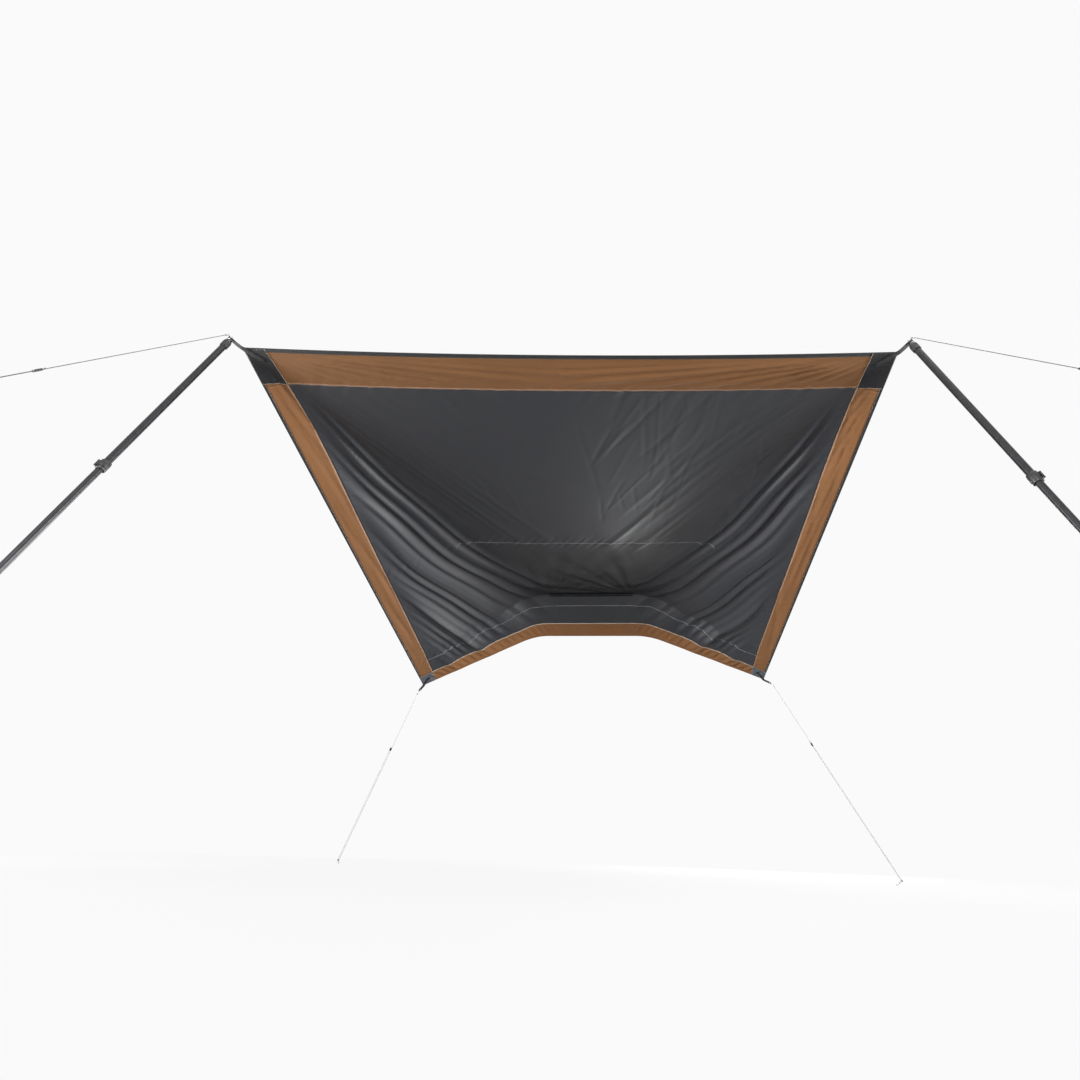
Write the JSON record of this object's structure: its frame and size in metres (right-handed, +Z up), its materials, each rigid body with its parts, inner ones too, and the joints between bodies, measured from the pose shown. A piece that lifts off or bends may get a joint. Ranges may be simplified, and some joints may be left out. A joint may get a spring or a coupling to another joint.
{
  "type": "vehicle side awning",
  "caption": "Square cloth awning pitched from a rail: dark roof with brown bands, telescopic poles at the front corners, guylines with runners and pegs.",
  "frame": {"origin": "middle of the rail's length on its flat underside, right below the keder", "axes": "+X along the rail, -Y out to the open front of the awning, +Z up"},
  "size_m": [5.8654, 6.9622, 3.0405],
  "materials": {
    "roof_cloth": "dark grey coated roof cloth",
    "band_cloth": "brown woven polyester",
    "webbing": "black webbing and tape",
    "patch_cloth": "black reinforcing cloth",
    "steel": "plated steel",
    "pole_tube": "black anodised tube",
    "rail": "black anodised extrusion",
    "foot_rubber": "black rubber",
    "cord": "light grey braided cord",
    "black_plastic": "black moulded nylon"
  },
  "bodies": {
    "awning": {"corner_patch_front_left": "patch_cloth", "corner_patch_front_right": "patch_cloth", "corner_patch_rear_left": "patch_cloth", "corner_patch_rear_right": "patch_cloth", "corner_tab_front_left": "webbing", "corner_tab_front_right": "webbing", "corner_tab_rear_left": "webbing", "corner_tab_rear_right": "webbing", "eyelet_front_left": "steel", "eyelet_front_right": "steel", "eyelet_rear_left": "steel", "eyelet_rear_right": "steel", "front_band": "band_cloth", "front_webbing": "webbing", "ground_peg_front_left": "steel", "ground_peg_front_right": "steel", "ground_peg_rear_left": "steel", "ground_peg_rear_right": "steel", "guyline_cord_front_left": "cord", "guyline_cord_front_right": "cord", "guyline_cord_rear_left": "cord", "guyline_cord_rear_right": "cord", "guyline_hook_front_left": "steel", "guyline_hook_front_right": "steel", "guyline_hook_rear_left": "steel", "guyline_hook_rear_right": "steel", "keder_bead": "webbing", "rail": "rail", "rail_cap_left": "black_plastic", "rail_cap_right": "black_plastic", "rear_band": "band_cloth", "roof_panel_front": "roof_cloth", "roof_panel_rear": "roof_cloth", "side_band_left": "band_cloth", "side_band_right": "band_cloth", "side_binding_left": "webbing", "side_binding_right": "webbing"},
    "pole_left_upper": {"pole_left_head": "black_plastic", "pole_left_upper_tube": "pole_tube", "pole_left_upper_collar": "black_plastic"},
    "pole_left_middle": {"pole_left_middle_tube": "pole_tube", "pole_left_lower_collar": "black_plastic"},
    "pole_left_lower": {"pole_left_lower_tube": "pole_tube", "pole_left_foot": "foot_rubber"},
    "pole_left_upper_lever": {"pole_left_upper_lever": "black_plastic"},
    "pole_left_lower_lever": {"pole_left_lower_lever": "black_plastic"},
    "pole_right_upper": {"pole_right_head": "black_plastic", "pole_right_upper_tube": "pole_tube", "pole_right_upper_collar": "black_plastic"},
    "pole_right_middle": {"pole_right_middle_tube": "pole_tube", "pole_right_lower_collar": "black_plastic"},
    "pole_right_lower": {"pole_right_lower_tube": "pole_tube", "pole_right_foot": "foot_rubber"},
    "pole_right_upper_lever": {"pole_right_upper_lever": "black_plastic"},
    "pole_right_lower_lever": {"pole_right_lower_lever": "black_plastic"},
    "runner_front_left": {"guyline_runner_front_left": "black_plastic"},
    "runner_front_right": {"guyline_runner_front_right": "black_plastic"},
    "runner_rear_left": {"guyline_runner_rear_left": "black_plastic"},
    "runner_rear_right": {"guyline_runner_rear_right": "black_plastic"}
  },
  "joints": [
    {"name": "pole_left_swing", "type": "hinge", "parent": "awning", "child": "pole_left_upper", "pos_m": [-1.97942, -3.5141, 0.18417], "axis": [1, 0, 0], "range_deg": [-18, 18]},
    {"name": "pole_left_middle_slide", "type": "slide", "parent": "pole_left_upper", "child": "pole_left_middle", "axis": [0.17, 0.187, 0.9675], "range_m": [-0.04, 0.85]},
    {"name": "pole_left_lower_slide", "type": "slide", "parent": "pole_left_middle", "child": "pole_left_lower", "axis": [0.17, 0.187, 0.9675], "range_m": [-0.05, 0.6]},
    {"name": "pole_left_upper_lever_flip", "type": "hinge", "parent": "pole_left_upper", "child": "pole_left_upper_lever", "pos_m": [-2.18818, -3.74165, -0.88514], "axis": [-0.17, -0.187, -0.9675], "range_deg": [0, 100]},
    {"name": "pole_left_lower_lever_flip", "type": "hinge", "parent": "pole_left_middle", "child": "pole_left_lower_lever", "pos_m": [-2.3517, -3.92167, -1.8242], "axis": [-0.17, -0.187, -0.9675], "range_deg": [0, 100]},
    {"name": "pole_right_swing", "type": "hinge", "parent": "awning", "child": "pole_right_upper", "pos_m": [1.97932, -3.35398, 0.08876], "axis": [1, 0, 0], "range_deg": [-18, 18]},
    {"name": "pole_right_middle_slide", "type": "slide", "parent": "pole_right_upper", "child": "pole_right_middle", "axis": [-0.1755, 0.1931, 0.9654], "range_m": [-0.04, 0.85]},
    {"name": "pole_right_lower_slide", "type": "slide", "parent": "pole_right_middle", "child": "pole_right_lower", "axis": [-0.1755, 0.1931, 0.9654], "range_m": [-0.05, 0.6]},
    {"name": "pole_right_upper_lever_flip", "type": "hinge", "parent": "pole_right_upper", "child": "pole_right_upper_lever", "pos_m": [2.1942, -3.58826, -0.97788], "axis": [0.1755, -0.1931, -0.9654], "range_deg": [0, 100]},
    {"name": "pole_right_lower_lever_flip", "type": "hinge", "parent": "pole_right_middle", "child": "pole_right_lower_lever", "pos_m": [2.36309, -3.77419, -1.91484], "axis": [0.1755, -0.1931, -0.9654], "range_deg": [0, 100]},
    {"name": "runner_front_left_slide", "type": "slide", "parent": "awning", "child": "runner_front_left", "axis": [-0.1292, -0.5709, -0.8108], "range_m": [0, 0.5]},
    {"name": "runner_front_right_slide", "type": "slide", "parent": "awning", "child": "runner_front_right", "axis": [0.1322, -0.5837, -0.8011], "range_m": [0, 0.5]},
    {"name": "runner_rear_left_slide", "type": "slide", "parent": "awning", "child": "runner_rear_left", "axis": [-0.4614, 0.485, -0.7429], "range_m": [0, 0.3]},
    {"name": "runner_rear_right_slide", "type": "slide", "parent": "awning", "child": "runner_rear_right", "axis": [0.4863, 0.1043, -0.8676], "range_m": [0, 0.3]}
  ]
}
